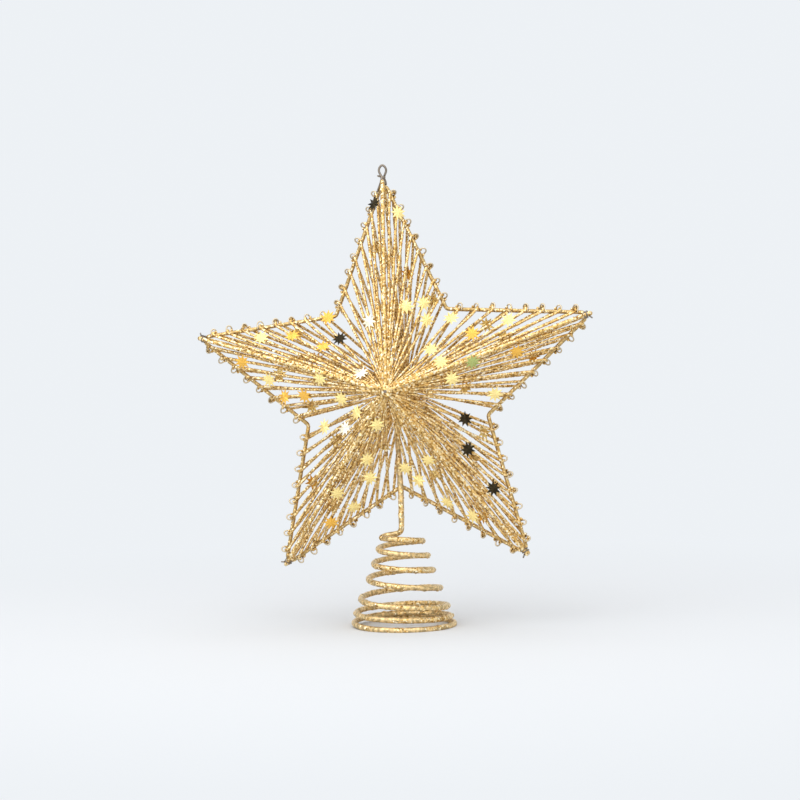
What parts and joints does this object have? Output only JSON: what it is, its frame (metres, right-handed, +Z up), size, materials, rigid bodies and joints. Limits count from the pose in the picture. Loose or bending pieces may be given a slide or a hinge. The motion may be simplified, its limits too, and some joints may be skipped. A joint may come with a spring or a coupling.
{
  "type": "tree topper star",
  "caption": "Gold glitter wire star tree topper: strands from a bent star frame to front and back hubs, with picots and foil sequins, on a stem and conical coil spring.",
  "frame": {"origin": "on the floor plane, on the coil spring's axis", "axes": "+Z up along the coil's axis, -Y the way the star faces, +X to the right seen from the front"},
  "size_m": [0.2002, 0.0564, 0.2311],
  "materials": {
    "glitter_wire": "gold paint with a glitter coat",
    "glitter_strand": "thick gold glitter coat on a thin wire",
    "glitter_hub": "glitter coat over gathered wire ends",
    "bare_wire": "bare drawn wire",
    "gold_foil": "metallised film, mirror-like"
  },
  "bodies": {
    "base": {"coil_spring": "glitter_wire"},
    "star": {"back_hub": "glitter_hub", "back_rib_left": "glitter_wire", "back_rib_lower_left": "glitter_wire", "back_rib_lower_right": "glitter_wire", "back_rib_right": "glitter_wire", "back_rib_top": "glitter_wire", "back_sequins_left": "gold_foil", "back_sequins_lower_left": "gold_foil", "back_sequins_lower_right": "gold_foil", "back_sequins_right": "gold_foil", "back_sequins_top": "gold_foil", "back_strands_left": "glitter_strand", "back_strands_lower_left": "glitter_strand", "back_strands_lower_right": "glitter_strand", "back_strands_right": "glitter_strand", "back_strands_top": "glitter_strand", "front_hub": "glitter_hub", "front_rib_left": "glitter_wire", "front_rib_lower_left": "glitter_wire", "front_rib_lower_right": "glitter_wire", "front_rib_right": "glitter_wire", "front_rib_top": "glitter_wire", "front_sequins_left": "gold_foil", "front_sequins_lower_left": "gold_foil", "front_sequins_lower_right": "gold_foil", "front_sequins_right": "gold_foil", "front_sequins_top": "gold_foil", "front_strands_left": "glitter_strand", "front_strands_lower_left": "glitter_strand", "front_strands_lower_right": "glitter_strand", "front_strands_right": "glitter_strand", "front_strands_top": "glitter_strand", "hanging_eye": "bare_wire", "hub_spindle": "bare_wire", "picots_left": "bare_wire", "picots_lower_left": "bare_wire", "picots_lower_right": "bare_wire", "picots_right": "bare_wire", "picots_top": "bare_wire", "star_frame": "glitter_wire", "stem": "glitter_wire"}
  },
  "joints": [
    {"name": "spring_compress", "type": "slide", "parent": "base", "child": "star", "axis": [0, 0, 1], "range_m": [-0.02, 0], "stiffness_N_per_m": 570, "springref_m": 0.0012, "deforming": ["coil_spring"]}
  ]
}
